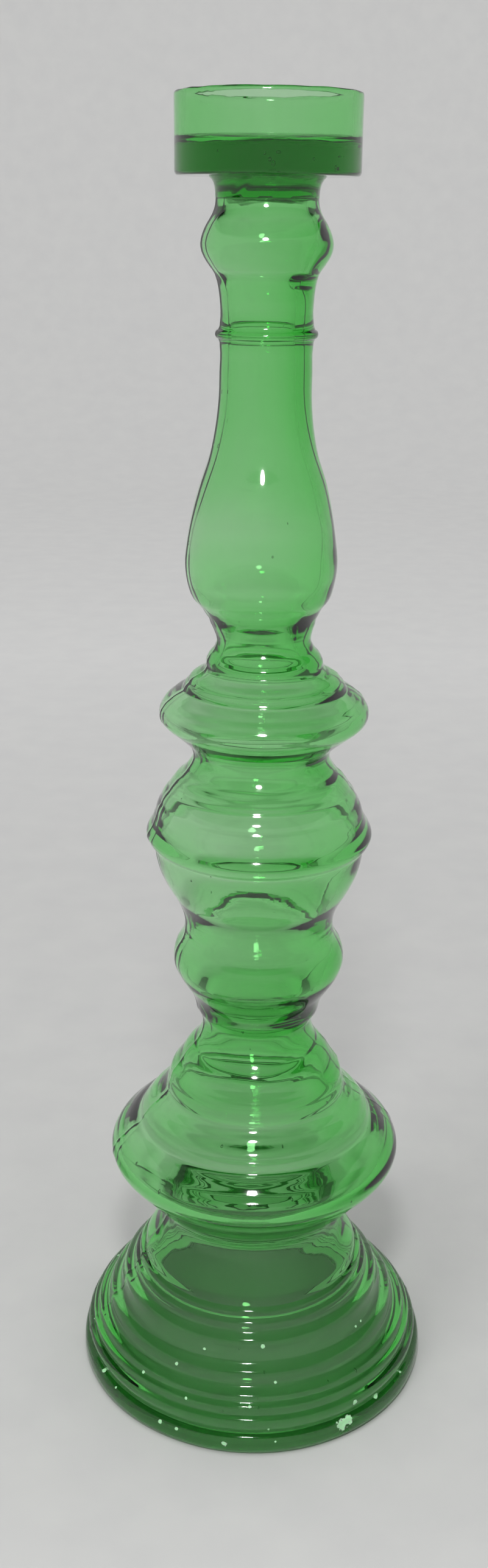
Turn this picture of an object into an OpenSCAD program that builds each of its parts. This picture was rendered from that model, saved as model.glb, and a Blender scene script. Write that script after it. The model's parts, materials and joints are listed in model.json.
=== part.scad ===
// Tall hollow glass candlestick: a mould-blown body, a solid joining button and a pressed candle cup.
// Millimetres. Origin at the middle of the foot's ground rim, on the table, with +Z up the stem.

/* [Foot] */
// Radius of the bead at the bottom of the foot
foot_r = 58; // [54:0.5:62]
// Radius of the flat ground rim, where it meets the bead
rim_r = 56.6; // [55:0.1:56.9]
// Radius of the hollow at the ground rim
foot_bore_r = 53.2; // [50:0.1:54]
// Radius of the hidden neck between the foot and the saucer
neck_r = 28.8; // [27.5:0.1:30]

/* [Saucer] */
// Radius of the saucer's edge
saucer_r = 47.3; // [45:0.1:50]
// Height of the saucer's edge
saucer_z = 80.2; // [79:0.1:81]
// Depth of the two creases round the top of the saucer
saucer_crease = 0.2; // [0:0.05:0.5]

/* [Small bulge] */
// Radius of the waist under the small bulge
low_waist_r = 17.6; // [16:0.1:19]
// Radius of the small bulge
bulge_r = 27; // [25:0.1:29]
// Height of the small bulge's widest ring
bulge_z = 148; // [146.5:0.1:149.5]

/* [Ridged bulb] */
// Radius of the sharp ridge round the bulb
ridge_r = 34.9; // [33.8:0.1:37]
// Height of the ridge
ridge_z = 190.6; // [189:0.1:192]

/* [Disc knop] */
// Radius of the disc knop
disc_r = 31.6; // [29.5:0.1:34]
// Height of the disc knop's widest ring
disc_z = 229.2; // [228.2:0.1:230.2]
// Depth of the two creases round the cone above the disc knop
disc_crease = 0.2; // [0:0.05:0.4]

/* [Baluster] */
// Radius of the groove under the baluster
groove_r = 14; // [13:0.1:15]
// Radius of the baluster's belly
belly_r = 22.3; // [20:0.1:24]
// Radius of the straight stem above the baluster
stem_r = 13.1; // [12:0.1:14]

/* [Collar and top knop] */
// How far the thin collar stands out of the stem
collar_out = 1.35; // [0.5:0.05:2.5]
// Height of the collar
collar_z = 338.2; // [336:0.1:340]
// Radius of the top knop
knop_r = 18.3; // [17:0.1:20]
// Height where the blown body ends and the joining button starts
body_top_z = 373.4; // [372.8:0.1:374]

/* [Candle cup] */
// Height of the cup's underside
cup_z = 378.9; // [378:0.1:380]
// Height of the cup's rim above the table
total_h = 400; // [396:0.5:406]
// Outer radius of the cup
cup_r = 25.2; // [24:0.1:30]
// Radius of the straight bore that the candle stands in
cup_bore_r = 22.5; // [19:0.1:22.8]
// Thickness of the cup's solid floor
cup_floor = 8; // [5:0.1:10]
// Rounding of the rim and of the cup's lower edge
cup_round = 1.2; // [0.6:0.1:1.3]
// Rounding inside the cup, between its floor and its wall
cup_fillet = 2; // [0.5:0.1:3]

/* [Glass] */
// Thickness of the blown wall at the top of the stem
top_wall = 3.2; // [2.4:0.1:4]
// Longest straight step of an outline
max_step = 1.8; // [1:0.1:3]

/* [Hidden] */
$fn = 96;
GLASS = [0.33, 0.72, 0.36];
THICK_GLASS = [0.10, 0.42, 0.14];

button_r = stem_r + 1;
button_top_r = button_r + 1.8;

// The direction of the outline at station i, from its two neighbours
function heading(p, i) =
    i == 0 ? (p[1] - p[0]) / norm(p[1] - p[0]) :
    i == len(p) - 1 ? (p[i] - p[i - 1]) / norm(p[i] - p[i - 1]) :
    let (a = p[i] - p[i - 1], b = p[i + 1] - p[i], la = norm(a), lb = norm(b))
        (a / la * lb + b / lb * la) / (la + lb);

// A point on the curve from p to q, which leaves along u and arrives along v
function curve_point(p, q, u, v, t) =
    let (h = norm(q - p), t2 = t * t, t3 = t * t * t)
        (2 * t3 - 3 * t2 + 1) * p + (t3 - 2 * t2 + t) * h * u
        + (3 * t2 - 2 * t3) * q + (t3 - t2) * h * v;

// A smooth line through the stations p, each [radius, height]
function smooth_line(p) = [
    for (i = [0 : len(p) - 2])
        let (n = max(2, ceil(norm(p[i + 1] - p[i]) / max_step)))
            for (k = [0 : n - 1])
                curve_point(p[i], p[i + 1], heading(p, i), heading(p, i + 1), k / n),
    p[len(p) - 1]
];

// Stations of a moulded tier: a side of radius r, a rounded shoulder at height z and a shelf going in
function tier(r, z, q) = [
    [r, z - 1.6 * q],
    [r - 0.15 * q, z - 0.6 * q],
    [r - 0.7 * q, z + 0.25 * q],
    [r - 1.7 * q, z + 0.75 * q]
];

function bead(centre, r, from, to, n) =
    [for (k = [0 : n]) let (a = from + (to - from) * k / n) centre + r * [cos(a), sin(a)]];

foot_line = concat(
    [[rim_r, 0], [foot_r - 0.3, 1.4], [foot_r, 3.4]],
    tier(foot_r - 0.1, 6.3, 1.2),
    tier(foot_r - 1.6, 11.9, 1.1),
    tier(foot_r - 3.5, 15.4, 0.9),
    tier(foot_r - 5.5, 18, 0.9),
    tier(foot_r - 9.4, 23.3, 1.9),
    tier(foot_r - 14.7, 31.5, 1.7),
    tier(foot_r - 18.5, 35.7, 1.1),
    tier(foot_r - 20.2, 38.8, 1.1)
);

neck_line = [
    [neck_r + 6.6, 42],
    [neck_r + 4.6, 45.3],
    [neck_r + 2.3, 48.7],
    [neck_r + 0.6, 52],
    [neck_r, 55.2],
    [neck_r + 0.9, 58.6],
    [neck_r + 4, 62.3],
    [saucer_r - 10.5, saucer_z - 14.6],
    [saucer_r - 6.8, saucer_z - 10.2],
    [saucer_r - 3.6, saucer_z - 6.6],
    [saucer_r - 1.2, saucer_z - 3.6],
    [saucer_r - 0.25, saucer_z - 1.6]
];

saucer_line = [
    [saucer_r, saucer_z],
    [saucer_r - 0.3, saucer_z + 1.7],
    [saucer_r - 1.2, saucer_z + 3.5],
    [saucer_r - 2.7, saucer_z + 5.3],
    [saucer_r - 4.7, saucer_z + 7.2],
    [saucer_r - 7.1, saucer_z + 9.3],
    [saucer_r - 8.9, saucer_z + 10.7 - saucer_crease],
    [saucer_r - 9.8, saucer_z + 11.7 - saucer_crease],
    [saucer_r - 10.4, saucer_z + 13.1],
    [saucer_r - 11.8, saucer_z + 14.9],
    [saucer_r - 13.8, saucer_z + 16.9],
    [saucer_r - 15.9, saucer_z + 18.8],
    [saucer_r - 17.2, saucer_z + 20.1 - saucer_crease],
    [saucer_r - 18, saucer_z + 21.3 - saucer_crease],
    [saucer_r - 18.6, saucer_z + 23.4],
    [saucer_r - 19.3, saucer_z + 26]
];

low_waist_line = [
    [low_waist_r + 9.5, 108.5],
    [low_waist_r + 7.5, 111.2],
    [low_waist_r + 6.3, 113.3],
    [low_waist_r + 5, 115.3],
    [low_waist_r + 2.2, 118.5],
    [low_waist_r + 0.5, 121.8],
    [low_waist_r, 125],
    [low_waist_r + 0.5, 127.8],
    [low_waist_r + 1.9, 130.2],
    [low_waist_r + 2.4, 132.8],
    [low_waist_r + 3.6, 136]
];

bulge_line = [
    [bulge_r - 3.6, bulge_z - 8.6],
    [bulge_r - 1.2, bulge_z - 4.5],
    [bulge_r, bulge_z],
    [bulge_r - 0.8, bulge_z + 4.2],
    [bulge_r - 2.7, bulge_z + 7.4],
    [bulge_r - 3.4, bulge_z + 9.8],
    [bulge_r - 3.6, bulge_z + 12.2],
    [bulge_r - 3, bulge_z + 16.4],
    [bulge_r - 1.7, bulge_z + 19.6]
];

bulb_line = [
    [ridge_r - 6.4, ridge_z - 17.3],
    [ridge_r - 4, ridge_z - 11.8],
    [ridge_r - 2.9, ridge_z - 7.4],
    [ridge_r - 2.4, ridge_z - 4.6],
    [ridge_r - 2, ridge_z - 3.4],
    [ridge_r - 0.9, ridge_z - 2.4],
    [ridge_r - 0.25, ridge_z - 1.1],
    [ridge_r, ridge_z],
    [ridge_r - 0.5, ridge_z + 1.3],
    [ridge_r - 1.8, ridge_z + 3.4],
    [ridge_r - 3, ridge_z + 6.8],
    [ridge_r - 4, ridge_z + 9.7],
    [ridge_r - 5.9, ridge_z + 12.9],
    [ridge_r - 7.3, ridge_z + 15],
    [ridge_r - 8.3, ridge_z + 16.2],
    [ridge_r - 9.3, ridge_z + 17.6],
    [ridge_r - 10.9, ridge_z + 18.9]
];

disc_line = [
    [disc_r - 9.6, disc_z - 17],
    [disc_r - 10.8, disc_z - 14.3],
    [disc_r - 10.3, disc_z - 11.4],
    [disc_r - 7.6, disc_z - 8.5],
    [disc_r - 3, disc_z - 4.6],
    [disc_r - 0.6, disc_z - 2.3],
    [disc_r, disc_z],
    [disc_r - 0.7, disc_z + 2.2],
    [disc_r - 2.2, disc_z + 4.1],
    [disc_r - 4.2, disc_z + 5.7],
    [disc_r - 5.9, disc_z + 6.7],
    [disc_r - 6.8, disc_z + 7.5 - disc_crease],
    [disc_r - 7.7, disc_z + 8.6],
    [disc_r - 8.9, disc_z + 10.2],
    [disc_r - 10.6, disc_z + 11.5],
    [disc_r - 12.4, disc_z + 12.5],
    [disc_r - 13.5, disc_z + 13.4 - disc_crease],
    [disc_r - 14, disc_z + 14.8],
    [disc_r - 14.3, disc_z + 16.6],
    [disc_r - 15.4, disc_z + 18]
];

baluster_line = [
    [groove_r + 0.8, 249],
    [groove_r, 251.4],
    [groove_r + 0.7, 254.3],
    [groove_r + 2.2, 258],
    [groove_r + 3.6, 260.9],
    [belly_r - 2.2, 264],
    [belly_r - 0.6, 269],
    [belly_r, 274.6],
    [belly_r - 0.6, 280.4],
    [belly_r - 2.1, 289],
    [belly_r - 4.2, 297.4],
    [stem_r + 2.5, 305],
    [stem_r + 0.9, 313],
    [stem_r + 0.1, 321],
    [stem_r, 328]
];

collar_line = concat(
    [[stem_r, collar_z - 3.4]],
    bead([stem_r + collar_out - 1.3, collar_z], 1.3, -72, 72, 6),
    [[stem_r, collar_z + 3.2], [stem_r, 347]]
);

knop_line = [
    [stem_r + 0.4, 350.5],
    [knop_r - 3.9, 353.9],
    [knop_r - 1.8, 356.9],
    [knop_r - 0.3, 359.7],
    [knop_r, 361.8],
    [knop_r - 0.5, 364.2],
    [knop_r - 1.7, 366.8],
    [knop_r - 3.3, 369.4],
    [stem_r + 1.15, 371.6],
    [button_r, body_top_z]
];

// The hollow follows the outside more gently, so the glass is thick at the ridge, steps and necks
hollow_line = [
    [button_r - top_wall, body_top_z],
    [button_r - top_wall + 0.2, body_top_z - 2],
    [knop_r - 4.3, body_top_z - 7.4],
    [knop_r - 3.1, 361.8],
    [knop_r - 5.5, 356.6],
    [stem_r - 3.2, 351.4],
    [stem_r - 3.7, 345],
    [stem_r - 3.7, 330],
    [stem_r - 3.4, 319],
    [stem_r - 1.3, 307],
    [belly_r - 6.2, 293.5],
    [belly_r - 3.3, 283],
    [belly_r - 2.6, 274.6],
    [belly_r - 3.9, 267.4],
    [belly_r - 7.5, 261.6],
    [groove_r - 2.4, 256.6],
    [groove_r - 4, 251.2],
    [groove_r - 2.4, 246.4],
    [disc_r - 15.5, 240.8],
    [disc_r - 9.7, 236],
    [disc_r - 4.4, 232.3],
    [disc_r - 2.2, 229.2],
    [disc_r - 4.9, 225.3],
    [disc_r - 12.9, 219.6],
    [disc_r - 15, 215],
    [disc_r - 13.4, 211],
    [ridge_r - 11, 206],
    [ridge_r - 6.6, 200.4],
    [ridge_r - 4.9, 195],
    [ridge_r - 3.9, ridge_z],
    [ridge_r - 4.7, 185.6],
    [ridge_r - 6.9, 177.6],
    [ridge_r - 10.8, 169.8],
    [bulge_r - 6.2, 164.4],
    [bulge_r - 7.1, 160],
    [bulge_r - 6.1, 155.4],
    [bulge_r - 3.5, 150],
    [bulge_r - 3.6, 146],
    [bulge_r - 7.6, 139.2],
    [low_waist_r - 2.3, 132.6],
    [low_waist_r - 4.7, 127],
    [low_waist_r - 4.7, 122.6],
    [low_waist_r - 1.4, 116.6],
    [low_waist_r + 3.6, 110.6],
    [saucer_r - 23, 104.4],
    [saucer_r - 18.6, 97.6],
    [saucer_r - 13.7, 92.6],
    [saucer_r - 6.7, 85.6],
    [saucer_r - 3.5, 80.4],
    [saucer_r - 5.4, 75.9],
    [saucer_r - 10.6, 69.8],
    [neck_r + 3.6, 65],
    [neck_r - 1.4, 60.2],
    [neck_r - 3, 55],
    [neck_r - 2.6, 50.6],
    [neck_r - 0.4, 46],
    [neck_r + 2.4, 41],
    [foot_r - 23.4, 36],
    [foot_r - 19, 29.8],
    [foot_r - 15.6, 23.6],
    [foot_r - 11.2, 17.8],
    [foot_r - 7.4, 12.4],
    [foot_r - 5.2, 7],
    [foot_bore_r, 0]
];

// Hollow mould-blown body, from the ground rim of the foot to the top of the stem
module blown_body() {
    outside = smooth_line(concat(foot_line, neck_line, saucer_line, low_waist_line, bulge_line,
                                 bulb_line, disc_line, baluster_line, collar_line, knop_line));
    color(GLASS, 0.6)
        rotate_extrude()
            polygon(concat(outside, smooth_line(hollow_line)));
}

// Solid button of glass that joins the cup to the stem and closes the hollow
module joining_button() {
    outside = smooth_line([
        [button_r, body_top_z],
        [button_r + 0.1, (body_top_z + cup_z) / 2 - 1],
        [button_r + 0.7, cup_z - 1.6],
        [button_top_r, cup_z]
    ]);
    color(THICK_GLASS, 0.8)
        rotate_extrude()
            polygon(concat([[0, cup_z], [0, body_top_z]], outside));
}

// Pressed cup with a straight bore, a thick floor and a fire-polished rim
module candle_cup() {
    floor_z = cup_z + cup_floor;
    color(GLASS, 0.7)
        rotate_extrude()
            polygon(concat(
                [[0, floor_z], [0, cup_z]],
                bead([cup_r - cup_round, cup_z + cup_round], cup_round, -90, 0, 6),
                bead([cup_r - cup_round, total_h - cup_round], cup_round, 0, 90, 6),
                bead([cup_bore_r + cup_round, total_h - cup_round], cup_round, 90, 180, 6),
                bead([cup_bore_r - cup_fillet, floor_z + cup_fillet], cup_fillet, 0, -90, 6)
            ));
}

blown_body();
joining_button();
candle_cup();
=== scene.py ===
"""Looks model of a tall hollow green glass candlestick.

Three glass pieces, each a finely turned mesh with the small faults of hand-finished glass, stand on a pale
studio sweep. Everything is in metres in the CAD's frame: origin on the table, +Z up the stem.
"""

import json
import math
import random

import bmesh
import bpy
from mathutils import Matrix, Vector, noise


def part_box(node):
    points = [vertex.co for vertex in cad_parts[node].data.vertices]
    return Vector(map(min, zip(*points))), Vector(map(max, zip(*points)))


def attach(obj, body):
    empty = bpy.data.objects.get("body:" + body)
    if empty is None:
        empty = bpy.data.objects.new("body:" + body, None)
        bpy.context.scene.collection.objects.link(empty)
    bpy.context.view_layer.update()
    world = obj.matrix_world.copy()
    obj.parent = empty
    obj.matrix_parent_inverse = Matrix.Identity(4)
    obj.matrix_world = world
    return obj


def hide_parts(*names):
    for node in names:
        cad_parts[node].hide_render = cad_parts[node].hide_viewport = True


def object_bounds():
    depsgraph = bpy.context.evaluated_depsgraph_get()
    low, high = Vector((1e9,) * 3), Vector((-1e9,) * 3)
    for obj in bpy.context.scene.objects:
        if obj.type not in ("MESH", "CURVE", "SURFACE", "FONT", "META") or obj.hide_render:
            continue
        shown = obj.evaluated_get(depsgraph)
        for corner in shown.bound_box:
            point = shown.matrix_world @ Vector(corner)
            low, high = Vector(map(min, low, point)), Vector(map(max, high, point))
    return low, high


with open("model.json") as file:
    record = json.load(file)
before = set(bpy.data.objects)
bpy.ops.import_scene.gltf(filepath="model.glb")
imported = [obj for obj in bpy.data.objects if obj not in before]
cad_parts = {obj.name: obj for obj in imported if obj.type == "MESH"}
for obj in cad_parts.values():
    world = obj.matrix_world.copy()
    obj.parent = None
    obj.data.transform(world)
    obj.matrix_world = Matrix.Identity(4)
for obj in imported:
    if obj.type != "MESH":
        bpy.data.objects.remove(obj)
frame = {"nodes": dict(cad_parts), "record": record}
cad_low, cad_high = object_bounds()
height = cad_high.z - cad_low.z
MM = 0.001
scene = bpy.context.scene
mounts = {m["name"]: m for m in frame["record"]["mounts"]}


# ---------------------------------------------------------------- camera

def add_camera():
    """A camera close in front of the stem's top, tilted down at the foot."""
    pitch, roll, yaw = math.radians(20.04), math.radians(0.56), math.radians(-0.72)
    ahead = Vector((math.sin(yaw) * math.cos(pitch), math.cos(yaw) * math.cos(pitch), -math.sin(pitch)))
    level = Vector((math.cos(yaw), -math.sin(yaw), 0))
    upright = level.cross(ahead)
    right = math.cos(roll) * level + math.sin(roll) * upright
    up = math.cos(roll) * upright - math.sin(roll) * level
    data = bpy.data.cameras.new("camera")
    data.lens = 36
    data.sensor_width = 36
    data.shift_x = 0.0021
    data.clip_start = 0.01
    data.clip_end = 20
    camera = bpy.data.objects.new("camera", data)
    place = Matrix((right, up, -ahead)).transposed().to_4x4()
    place.translation = Vector((0, -1.128 * height, 0.9245 * height))
    camera.matrix_world = place
    scene.collection.objects.link(camera)
    scene.camera = camera
    return place


camera_place = add_camera()


# ---------------------------------------------------------------- outlines, each a list of (radius, height)

def cad_rings(node):
    """The (radius, height) of each ring of a turned CAD node, and which rings its skin joins."""
    mesh = frame["nodes"][node].data
    rings, ring_of, seen = [], [], {}
    for v in mesh.vertices:
        r, z = math.hypot(v.co.x, v.co.y), v.co.z
        cell = (round(r / 2e-4), round(z / 2e-4))
        near = [k for i in (-1, 0, 1) for j in (-1, 0, 1) for k in seen.get((cell[0] + i, cell[1] + j), [])]
        near = [k for k in near if math.dist(rings[k], (r, z)) < 1e-4]
        if not near:
            rings.append((r, z))
            near = [len(rings) - 1]
            seen.setdefault(cell, []).append(near[0])
        ring_of.append(near[0])
    joined = [set() for _ in rings]
    for e in mesh.edges:
        a, b = (ring_of[i] for i in e.vertices)
        if a != b:
            joined[a].add(b)
            joined[b].add(a)
    return rings, joined


def body_outline():
    """The blown body's section: up the outside from the ground rim, then down the hollow."""
    rings, joined = cad_rings("blown_body")
    low = [k for k, p in enumerate(rings) if p[1] < 1e-5]
    start = max(low, key=lambda k: rings[k][0])
    last = min(low, key=lambda k: rings[k][0])
    walk, at = [start], start
    while at != last:
        steps = [k for k in joined[at] if k not in walk and not (at == start and k == last)]
        at = min(steps, key=lambda k: math.dist(rings[k], rings[at]))
        walk.append(at)
    return [rings[k] for k in walk]


def arc(centre, radius, start, end, steps):
    """Points on a circle of the section, angles in degrees."""
    turn = [math.radians(start + (end - start) * k / steps) for k in range(steps + 1)]
    return [(centre[0] + radius * math.cos(a), centre[1] + radius * math.sin(a)) for a in turn]


def fine(line, step):
    """The same line with its long straight stretches split."""
    out = []
    for a, b in zip(line, line[1:]):
        n = max(1, math.ceil(math.dist(a, b) / step))
        out += [(a[0] + (b[0] - a[0]) * k / n, a[1] + (b[1] - a[1]) * k / n) for k in range(n)]
    return out + [line[-1]]


# ---------------------------------------------------------------- hand-made shape

def bump_at(x, centre, half):
    """1 at the centre, falling smoothly to 0 at half either side."""
    t = min(1.0, abs(x - centre) / half)
    return (1 - t * t) ** 2


def swirl(r, z, a, scale, seed):
    """Smooth noise round the axis, from about -1 to 1."""
    around = Vector((math.cos(a), math.sin(a), 0)) * (r * scale)
    return noise.noise(around + Vector((seed, seed * 0.7, z * scale)))


# The stem isn't quite straight: how far it strays along X, as (height, half span, stray) in mm
STRAYS = ((38, 34, -0.9), (150, 60, 0.5), (236, 34, 1.2), (276, 24, -0.4), (336, 30, 0.3))


def settle(p):
    """The whole candlestick's slight sway, and the saucer's tilt."""
    sway = sum(stray * MM * bump_at(p.z, z * MM, span * MM) for z, span, stray in STRAYS)
    tilt = 0.009 * p.x * bump_at(p.z, 88 * MM, 34 * MM)
    return Vector((p.x + sway, p.y, p.z + tilt))


# The two mould seams: where they are, how proud they stand and half their width
SEAMS = (math.radians(12), math.radians(192))
SEAM_PROUD, SEAM_HALF = 0.16 * MM, 0.9 * MM

# The chip in the foot: its turn and height, then half its width, half its height and its depth
CHIP_TURN, CHIP_Z = math.radians(-58), 5.2 * MM
CHIP_HALF, CHIP_RISE, CHIP_DEEP = 3.0 * MM, 2.4 * MM, 0.9 * MM

# Soft pressed rings on the outside, as (middle, half span, pitch, depth) in mm
RINGS = ((240, 13, 2.4, 0.34), (203, 9, 4.0, 0.3), (96, 22, 3.8, 0.36))

# The crease under the belly, as (height, half width, depth) in mm
CREASE = (258, 1.3, 0.3)

# Folds of the hollow's skin: height, waviness, depth and half width in mm, middle and half span in degrees
FOLDS = (
    (157, 2.4, 1.1, 1.3, 90, 150),
    (353, 3.0, 1.1, 2.4, -12, 60),
    (208, 1.2, 0.45, 1.6, 0, 720),
    (114, 0.8, 0.45, 1.6, 0, 720),
)

# The lap of glass inside the top knop, as (height, half span, depth) in mm
LAP = (358, 13, 1.1)

# Small pale bruises on the foot, as (turn in degrees, height, size) in mm
BRUISES = (
    (-59, 5.3, 2.2), (-56.9, 5.7, 2.0), (-150, 6.9, 0.8), (-141, 6.4, 0.5), (-131, 16.4, 0.6),
    (-120, 5.6, 0.7), (-112, 15.3, 0.5), (-90, 15.6, 0.5), (-84, 8.5, 0.4), (-80, 20.3, 0.5),
    (-38, 25.8, 0.5), (-109, 27.3, 0.5), (-114, 5.5, 0.6), (-98, 4.2, 0.9), (-82, 5.2, 0.5),
    (-43, 7.5, 1.1), (-53, 10.5, 0.9), (-34, 26, 0.5), (-84, 30, 0.7), (-119, 22, 0.6),
    (-28, 7, 0.6), (35, 6, 0.8), (80, 12.5, 0.6), (118, 6.2, 0.9), (160, 19, 0.5), (-170, 13, 0.5),
)


def turned_angles(count, spots):
    """Angles round the axis, closer together at each spot."""
    turn = [2 * math.pi * k / count for k in range(count)]
    gap = turn[1]
    for s in spots:
        turn = [a for a in turn if abs(math.remainder(a - s, 2 * math.pi)) > 0.45 * gap]
        turn += [(s + d * gap) % (2 * math.pi) for d in (-0.3, -0.15, 0, 0.15, 0.3)]
    return sorted(turn)


def body_shape(r, z, a, outside):
    """The blown body's wall: nearly true outside, wavy inside, with mould seams and a chip on the foot."""
    if outside:
        r += 0.10 * MM * (swirl(r, z, a, 55, 3.1) - 1)
        for s in SEAMS:
            off = math.remainder(a - s, 2 * math.pi) * r
            r += SEAM_PROUD * bump_at(off, 0, SEAM_HALF) * (z > 8 * MM)
        crease_z, crease_half, crease_deep = (n * MM for n in CREASE)
        r -= crease_deep * bump_at(z, crease_z, crease_half)
        for middle, span, pitch, depth in RINGS:
            crest = abs(math.cos(math.pi * (z / MM - middle) / pitch))
            r -= depth * MM * (1 - crest) * bump_at(z, middle * MM, span * MM)
        off = math.remainder(a - CHIP_TURN, 2 * math.pi) * r
        depth = 1 - (off / CHIP_HALF) ** 2 - ((z - CHIP_Z) / CHIP_RISE) ** 2
        if depth > 0:
            r -= CHIP_DEEP * math.sqrt(depth) * (1 + 0.4 * swirl(r, z, a, 900, 1.7))
        return r, z
    if z < 1 * MM:
        return r, z
    calm = 1 - 0.5 * bump_at(z, 238 * MM, 40 * MM) - 0.6 * bump_at(z, 20 * MM, 90 * MM)
    r += (0.42 * swirl(r, z, a, 38, 8.3) + 0.05 * swirl(r, z, a, 90, 5.9)) * calm * MM
    uneven = 0.7 * min(1.0, z / (70 * MM)) + 0.4 * bump_at(z, 357 * MM, 16 * MM)
    r -= uneven * MM * math.cos(a) * (1 - bump_at(z, 373 * MM, 14 * MM))
    for at, wave, depth, half, middle, span in FOLDS:
        reach = bump_at(math.remainder(a - math.radians(middle), 2 * math.pi), 0, math.radians(span))
        r -= depth * MM * reach * bump_at(z, (at + wave * swirl(r, 0, a, 70, 2.6)) * MM, half * MM)
    lap_z, lap_span, lap_deep = (n * MM for n in LAP)
    lap = bump_at(math.remainder(a + math.radians(4), 2 * math.pi), 0, 0.5) * bump_at(z, lap_z, lap_span)
    r -= lap_deep * lap * (0.6 + 0.4 * math.sin(z * 900))
    return r, z


# ---------------------------------------------------------------- meshes

def lathe(name, line, count, shape, closed=False, spots=()):
    """Turns a line round the axis, with each point moved by shape. A point at radius 0 is a pole."""
    turn = turned_angles(count, spots)
    verts, rows = [], []
    for r, z, *side in line:
        if r < 1e-7:
            rows.append([len(verts)])
            verts.append(settle(Vector((0, 0, z))))
            continue
        rows.append(list(range(len(verts), len(verts) + len(turn))))
        for a in turn:
            rr, zz = shape(r, z, a, *side)
            verts.append(settle(Vector((rr * math.cos(a), rr * math.sin(a), zz))))
    pairs = list(zip(rows, rows[1:])) + ([(rows[-1], rows[0])] if closed else [])
    faces = []
    for low, high in pairs:
        for k in range(len(turn)):
            n = (k + 1) % len(turn)
            if len(low) == 1:
                faces.append((low[0], high[n], high[k]))
            elif len(high) == 1:
                faces.append((low[k], low[n], high[0]))
            else:
                faces.append((low[k], low[n], high[n], high[k]))
    mesh = bpy.data.meshes.new(name)
    mesh.from_pydata(verts, [], faces)
    return mesh


def add_seeds(mesh, places, rng):
    """Seeds: small closed bubbles of air in the glass, with their skins facing the air."""
    bm = bmesh.new()
    bm.from_mesh(mesh)
    for centre, along, size in places:
        side = along.orthogonal().normalized()
        turn = Matrix((side, along.cross(side), along)).transposed().to_4x4()
        grow = Matrix.Diagonal((size, size, size * rng.uniform(1.1, 1.9), 1))
        made = bmesh.ops.create_icosphere(
            bm, subdivisions=2, radius=1, matrix=Matrix.Translation(centre) @ turn @ grow)
        skin = {f for v in made["verts"] for f in v.link_faces}
        bmesh.ops.reverse_faces(bm, faces=list(skin))
    bm.to_mesh(mesh)
    bm.free()


# A steeper bend than this between two faces stays a crisp edge
SHARP_BEND = math.radians(42)


def finish_piece(name, mesh, node):
    """Makes the piece that stands for a CAD node."""
    for poly in mesh.polygons:
        poly.use_smooth = True
    mesh.set_sharp_from_angle(angle=SHARP_BEND)
    mesh.validate()
    piece = bpy.data.objects.new(name, mesh)
    scene.collection.objects.link(piece)
    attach(piece, "root")
    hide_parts(node)
    return piece


def seed_places(outer, rng, bands):
    """Where the seeds sit: a little under the outside, at random places in each band of height."""
    out = []
    for low, high, count in bands:
        run = [k for k in range(1, len(outer) - 1) if low * MM < outer[k][1] < high * MM]
        for _ in range(count):
            k, a = rng.choice(run), rng.uniform(0, 2 * math.pi)
            (low_r, low_z), (high_r, high_z) = outer[k - 1], outer[k + 1]
            along = Vector((high_r - low_r, high_z - low_z)).normalized()
            size = rng.uniform(0.16, 0.42) * MM
            depth = rng.uniform(0.8, 1.3) * MM
            r, z = outer[k][0] - along.y * depth, outer[k][1] + along.x * depth
            place = settle(Vector((r * math.cos(a), r * math.sin(a), z)))
            out.append((place, Vector((along.x * math.cos(a), along.x * math.sin(a), along.y)), size))
    return out


def add_body():
    line = body_outline()
    top = max(range(len(line)), key=lambda k: (line[k][1], line[k][0]))
    marked = []
    for k, (a, b) in enumerate(zip(line, line[1:] + line[:1])):
        close = any(abs(a[1] / MM - at) < span for at, span, *_ in RINGS) if k < top else any(
            abs(a[1] / MM - at) < 6 for at, *_ in FOLDS)
        marked += [(*p, k <= top) for p in fine([a, b], 0.75 * MM if close else 1)[:-1]]
    mesh = lathe("blown_body", marked, 104, body_shape, closed=True, spots=(*SEAMS, CHIP_TURN))
    rng = random.Random(11)
    bands = [(4, 30, 34), (30, 60, 8), (78, 110, 14), (125, 175, 8), (180, 240, 10), (250, 345, 10)]
    add_seeds(mesh, seed_places(line[:top + 1], rng, bands), rng)
    return finish_piece("candlestick_body", mesh, "blown_body")


def add_button():
    """The solid button, with the wavy bottom of hand-joined glass. It bites a little into its neighbours."""
    low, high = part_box("joining_button")
    bite = 0.25 * MM
    line = cad_rings("joining_button")[0]
    side = sorted((p for p in line if p[0] > 5 * MM), key=lambda p: p[1])
    top_r = side[-1][0]
    body = body_outline()
    hollow_r = body[max(range(len(body)), key=lambda k: (body[k][1], body[k][0])) + 1][0] + 0.2 * MM
    drop = 1.1 * MM
    plug = [(0, low.z - drop), (hollow_r - 0.6 * MM, low.z - drop), (hollow_r, low.z - drop + 0.5 * MM),
            (hollow_r, low.z - bite), (side[0][0] - 0.4 * MM, low.z - bite),
            (side[0][0] - 0.02 * MM, low.z + 0.01 * MM)]
    top = [(top_r, high.z - 0.02 * MM), (top_r - 0.2 * MM, high.z + bite), (0, high.z + bite)]
    line = fine(plug + side[1:-1] + top, 0.7 * MM)

    def shape(r, z, a):
        if z < low.z - bite - 0.01 * MM:
            wave = 0.75 * swirl(hollow_r, 0, a, 160, 4.4) + 0.35 * swirl(hollow_r, 0, a, 420, 9.2)
            z += wave * MM * (r / hollow_r)
        if low.z + 0.4 * MM < z < high.z - 0.6 * MM:
            fold = math.remainder(a - math.radians(-128) - 60 * (z - low.z), 2 * math.pi)
            r += 0.30 * MM * swirl(r, z, a, 110, 6.6) - 0.35 * MM * bump_at(fold, 0, 0.14)
        return r, z

    mesh = lathe("joining_button", line, 128, shape)
    return finish_piece("candlestick_button", mesh, "joining_button")


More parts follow.
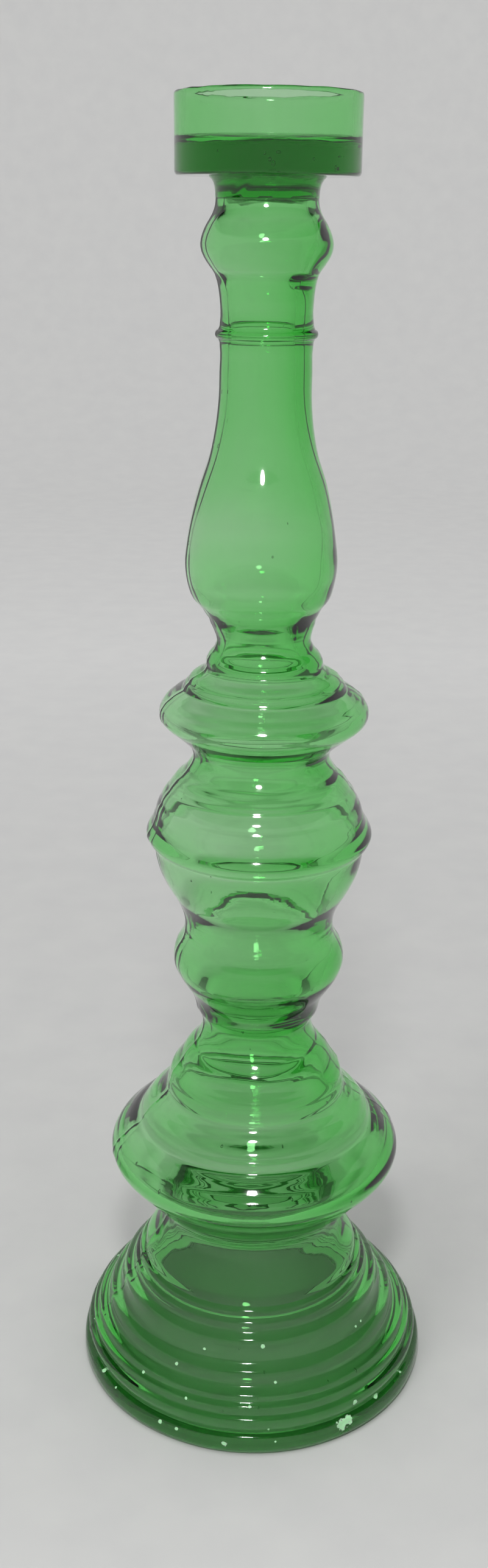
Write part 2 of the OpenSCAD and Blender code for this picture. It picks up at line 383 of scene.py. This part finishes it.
def add_cup():
    """The pressed cup: straight bore, thick floor, fire-polished rim."""
    low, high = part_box("candle_cup")
    outer_r = (high.x - low.x) / 2
    bore = mounts["candle_bore"]
    bore_r = bore["dims"]["r_mm"] * MM
    wall_low = bore["pos_m"][2] - bore["dims"]["length_mm"] * MM / 2
    wall_high = bore["pos_m"][2] + bore["dims"]["length_mm"] * MM / 2
    lip = high.z - wall_high
    fillet = 2 * MM
    floor_z = wall_low - fillet
    line = fine(
        [(0, low.z)]
        + arc((outer_r - lip, low.z + lip), lip, -90, 0, 8)
        + arc((outer_r - lip, high.z - lip), lip, 0, 90, 8)
        + arc((bore_r + lip, high.z - lip), lip, 90, 180, 8)
        + arc((bore_r - fillet, floor_z + fillet), fillet, 0, -90, 8)
        + [(0, floor_z)], 0.8 * MM)

    def shape(r, z, a):
        if r > outer_r - 0.3 * MM:
            r -= (0.05 + 0.05 * swirl(r, z, a, 70, 2.2)) * MM
        elif z > floor_z + 0.3 * MM and r > bore_r - 1.9 * MM:
            r += 0.10 * MM * swirl(r, z, a, 60, 7.7) * bump_at(z, (floor_z + high.z) / 2, 8 * MM)
            if z > high.z - 0.5 * MM:
                z -= (0.24 + 0.24 * swirl(r, 0, a, 160, 5.5)) * MM
        elif abs(z - floor_z) < 0.3 * MM:
            z += (0.8 * swirl(r, 0, a, 60, 3.7) + 0.35 * swirl(r, 0, a, 160, 6.1)) * MM
        return r, z

    mesh = lathe("candle_cup", line, 160, shape)
    rng = random.Random(5)
    places = []
    for _ in range(9):
        r, a = rng.uniform(4, 21) * MM, rng.uniform(0, 2 * math.pi)
        z = rng.uniform(low.z + 2 * MM, floor_z - 2 * MM)
        size = rng.uniform(0.18, 0.4) * MM
        places.append((Vector((r * math.cos(a), r * math.sin(a), z)), Vector((0, 0, 1)), size))
    add_seeds(mesh, places, rng)
    return finish_piece("candlestick_cup", mesh, "candle_cup")


pieces = {"blown_glass": add_body(), "thick_glass": add_button(), "pressed_glass": add_cup()}


# ---------------------------------------------------------------- materials

def new_material(name):
    mat = bpy.data.materials.new(name)
    mat.use_nodes = True
    mat.node_tree.nodes.clear()
    out = mat.node_tree.nodes.new("ShaderNodeOutputMaterial")
    return mat, mat.node_tree.nodes, mat.node_tree.links, out


def noise_node(nodes, links, coords, scale, detail=2.0, stretch=(1, 1, 1), distortion=0.0):
    place = nodes.new("ShaderNodeMapping")
    place.inputs["Scale"].default_value = stretch
    links.new(coords, place.inputs["Vector"])
    n = nodes.new("ShaderNodeTexNoise")
    n.inputs["Scale"].default_value = scale
    n.inputs["Detail"].default_value = detail
    n.inputs["Distortion"].default_value = distortion
    links.new(place.outputs["Vector"], n.inputs["Vector"])
    return n.outputs["Fac"]


def ramp(nodes, links, fac, stops):
    r = nodes.new("ShaderNodeValToRGB")
    r.color_ramp.elements.remove(r.color_ramp.elements[1])
    for k, (at, colour) in enumerate(stops):
        e = r.color_ramp.elements[0] if k == 0 else r.color_ramp.elements.new(at)
        e.position = at
        e.color = (*colour, 1)
    links.new(fac, r.inputs["Fac"])
    return r.outputs["Color"]


def math_node(nodes, links, operation, *values):
    """A Math node. Each value is a number or the socket that feeds it."""
    n = nodes.new("ShaderNodeMath")
    n.operation = operation
    n.use_clamp = operation in ("SUBTRACT", "MULTIPLY")
    for k, v in enumerate(values):
        if isinstance(v, (int, float)):
            n.inputs[k].default_value = v
        else:
            links.new(v, n.inputs[k])
    return n.outputs["Value"]


def bruise_mask(nodes, links, coords, places):
    """1 inside each small ragged patch, 0 elsewhere."""
    ragged = noise_node(nodes, links, coords, 700, 3)
    mask = 0.0
    for place, size in places:
        far = nodes.new("ShaderNodeVectorMath")
        far.operation = "DISTANCE"
        links.new(coords, far.inputs[0])
        far.inputs[1].default_value = place
        reach = math_node(nodes, links, "MULTIPLY", ragged, 1.9 * size)
        inside = math_node(nodes, links, "SUBTRACT", reach, far.outputs["Value"])
        mask = math_node(nodes, links, "MAXIMUM", mask, math_node(nodes, links, "MULTIPLY", inside, 6 / size))
    return mask


def glass(name, smudge, ripple, bruises=()):
    """Green bottle glass: coloured through its depth, faintly streaked, rippled and smudged at the skin."""
    mat, nodes, links, out = new_material(name)
    coords = nodes.new("ShaderNodeTexCoord").outputs["Object"]
    skin = nodes.new("ShaderNodeBsdfPrincipled")
    skin.inputs["Transmission Weight"].default_value = 1.0
    skin.inputs["IOR"].default_value = 1.5
    skin.inputs["Coat Weight"].default_value = 0.25
    skin.inputs["Coat Roughness"].default_value = 0.1
    streaks = noise_node(nodes, links, coords, 60, 3, (1, 1, 0.25), 1.2)
    colour = ramp(nodes, links, streaks, [(0.35, (0.96, 1, 0.96)), (0.6, (1, 1, 1))])
    smears = noise_node(nodes, links, coords, 45, 4, (1, 1, 0.7), 0.6)
    dull = ramp(nodes, links, smears, [(0.5, (0, 0, 0)), (0.78, (smudge, smudge, smudge))])
    if bruises:
        mask = bruise_mask(nodes, links, coords, bruises)
        links.new(math_node(nodes, links, "SUBTRACT", 1.0, mask), skin.inputs["Transmission Weight"])
        blend = nodes.new("ShaderNodeMix")
        blend.data_type = "RGBA"
        links.new(mask, blend.inputs["Factor"])
        links.new(colour, blend.inputs["A"])
        blend.inputs["B"].default_value = (0.42, 0.82, 0.44, 1)
        colour = blend.outputs["Result"]
        dull = math_node(nodes, links, "MAXIMUM", dull, math_node(nodes, links, "MULTIPLY", mask, 0.6))
    apart = nodes.new("ShaderNodeSeparateXYZ")
    links.new(coords, apart.inputs[0])
    ground = math_node(nodes, links, "LESS_THAN", apart.outputs["Z"], 0.4 * MM)
    dull = math_node(nodes, links, "MAXIMUM", dull, math_node(nodes, links, "MULTIPLY", ground, 0.6))
    links.new(colour, skin.inputs["Base Color"])
    links.new(dull, skin.inputs["Roughness"])
    waves = noise_node(nodes, links, coords, 150, 2, (1, 1, 0.5))
    turned = noise_node(nodes, links, coords, 420, 2, (0.12, 0.12, 1))
    bump = nodes.new("ShaderNodeBump")
    bump.inputs["Strength"].default_value = 1.0
    bump.inputs["Distance"].default_value = ripple
    lines = math_node(nodes, links, "MULTIPLY", turned, 0.3)
    links.new(math_node(nodes, links, "ADD", waves, lines), bump.inputs["Height"])
    links.new(bump.outputs["Normal"], skin.inputs["Normal"])
    links.new(skin.outputs["BSDF"], out.inputs["Surface"])
    depth = nodes.new("ShaderNodeVolumeAbsorption")
    depth.inputs["Color"].default_value = (0.0, 0.838, 0.01, 1)
    depth.inputs["Density"].default_value = 210
    links.new(depth.outputs["Volume"], out.inputs["Volume"])
    return mat


def on_foot(turn, z):
    """The place on the outside of the foot at this turn and height."""
    body = body_outline()
    outside = body[:max(range(len(body)), key=lambda k: body[k][1])]
    r = min(outside, key=lambda p: abs(p[1] - z))[0] - 0.2 * MM
    return settle(Vector((r * math.cos(turn), r * math.sin(turn), z)))


finishes = {
    "blown_glass": glass("green_blown_glass", 0.05, 0.00004,
                         [(on_foot(math.radians(a), z * MM), size * MM) for a, z, size in BRUISES]),
    "thick_glass": glass("green_solid_glass", 0.03, 0.0002),
    "pressed_glass": glass("green_pressed_glass", 0.05, 0.0001),
}
for slot_name, piece in pieces.items():
    piece.data.materials.clear()
    piece.data.materials.append(finishes[slot_name])


# ---------------------------------------------------------------- studio

def add_sweep():
    """A pale round studio sweep: a level floor that curves up into a wall all round, its paper painted with a
    glow though it is no lamp.
    """
    radius, cove, top, gap = 2.3, 0.6, 1.5, -0.05 * MM
    line = [(0, gap), (0.2, gap), (0.6, gap), (1.2, gap), (radius - cove, gap)]
    line += arc((radius - cove, cove + gap), cove, -90, 0, 16)[1:] + [(radius, 1.0), (radius, top)]
    verts, faces = [(0, 0, gap)], []
    count = 96
    for r, z in line[1:]:
        turn = [2 * math.pi * k / count for k in range(count)]
        verts += [(r * math.cos(a), r * math.sin(a), z) for a in turn]
    for k in range(count):
        faces.append((0, 1 + k, 1 + (k + 1) % count))
    for i in range(len(line) - 2):
        for k in range(count):
            a, b = 1 + i * count + k, 1 + i * count + (k + 1) % count
            faces.append((a, a + count, b + count, b))
    mesh = bpy.data.meshes.new("studio_sweep")
    mesh.from_pydata(verts, [], faces)
    for poly in mesh.polygons:
        poly.use_smooth = True
    sweep = bpy.data.objects.new("studio_sweep", mesh)
    scene.collection.objects.link(sweep)
    mat, nodes, links, out = new_material("pale_paper")
    paper = nodes.new("ShaderNodeBsdfPrincipled")
    coords = nodes.new("ShaderNodeTexCoord").outputs["Object"]
    grain = noise_node(nodes, links, coords, 40, 4)
    tone = ramp(nodes, links, grain, [(0.3, (0.58, 0.58, 0.575)), (0.7, (0.61, 0.61, 0.6))])
    links.new(tone, paper.inputs["Base Color"])
    paper.inputs["Roughness"].default_value = 0.8
    paper.inputs["Specular IOR Level"].default_value = 0.2
    # Painted light: the paper glows though it is no lamp. There is no glow within 0.1 m of the middle, rising
    # to full glow 0.9 m out, so the floor round the candlestick is left darker as painted shade.
    span = nodes.new("ShaderNodeVectorMath")
    span.operation = "LENGTH"
    links.new(coords, span.inputs[0])
    painted_glow = ramp(nodes, links, span.outputs["Value"], [(0.1, (0, 0, 0)), (0.9, (0.19, 0.19, 0.19))])
    links.new(painted_glow, paper.inputs["Emission Color"])
    paper.inputs["Emission Strength"].default_value = 1.0
    links.new(paper.outputs["BSDF"], out.inputs["Surface"])
    mesh.materials.append(mat)
    return sweep


def add_light(name, place, target, size, power, shape="SQUARE", seen=True):
    data = bpy.data.lights.new(name, "AREA")
    data.shape = shape
    data.size = size
    data.energy = power
    light = bpy.data.objects.new(name, data)
    light.location = place
    light.rotation_mode = "QUATERNION"
    light.rotation_quaternion = (Vector(target) - Vector(place)).to_track_quat("-Z", "Y")
    light.visible_glossy = seen
    light.visible_transmission = seen
    scene.collection.objects.link(light)
    return light


add_sweep()
middle = Vector((0, 0, height / 2))
add_light("overhead", (0, 0, 2.4), (0, 0, 0), 2.2, 31, seen=False)
add_light("key", (-0.9, -0.9, 1.5), middle, 0.7, 6, seen=False)
above_lens = camera_place @ Vector((-0.012, 0.178, 0.01))
add_light("front", above_lens, middle, 0.07, 1.4, "DISK")

world = bpy.data.worlds.new("studio")
world.use_nodes = True
world.node_tree.nodes["Background"].inputs["Color"].default_value = (0.07, 0.07, 0.072, 1)
world.node_tree.nodes["Background"].inputs["Strength"].default_value = 1.0
scene.world = world
scene.view_settings.view_transform = "Standard"
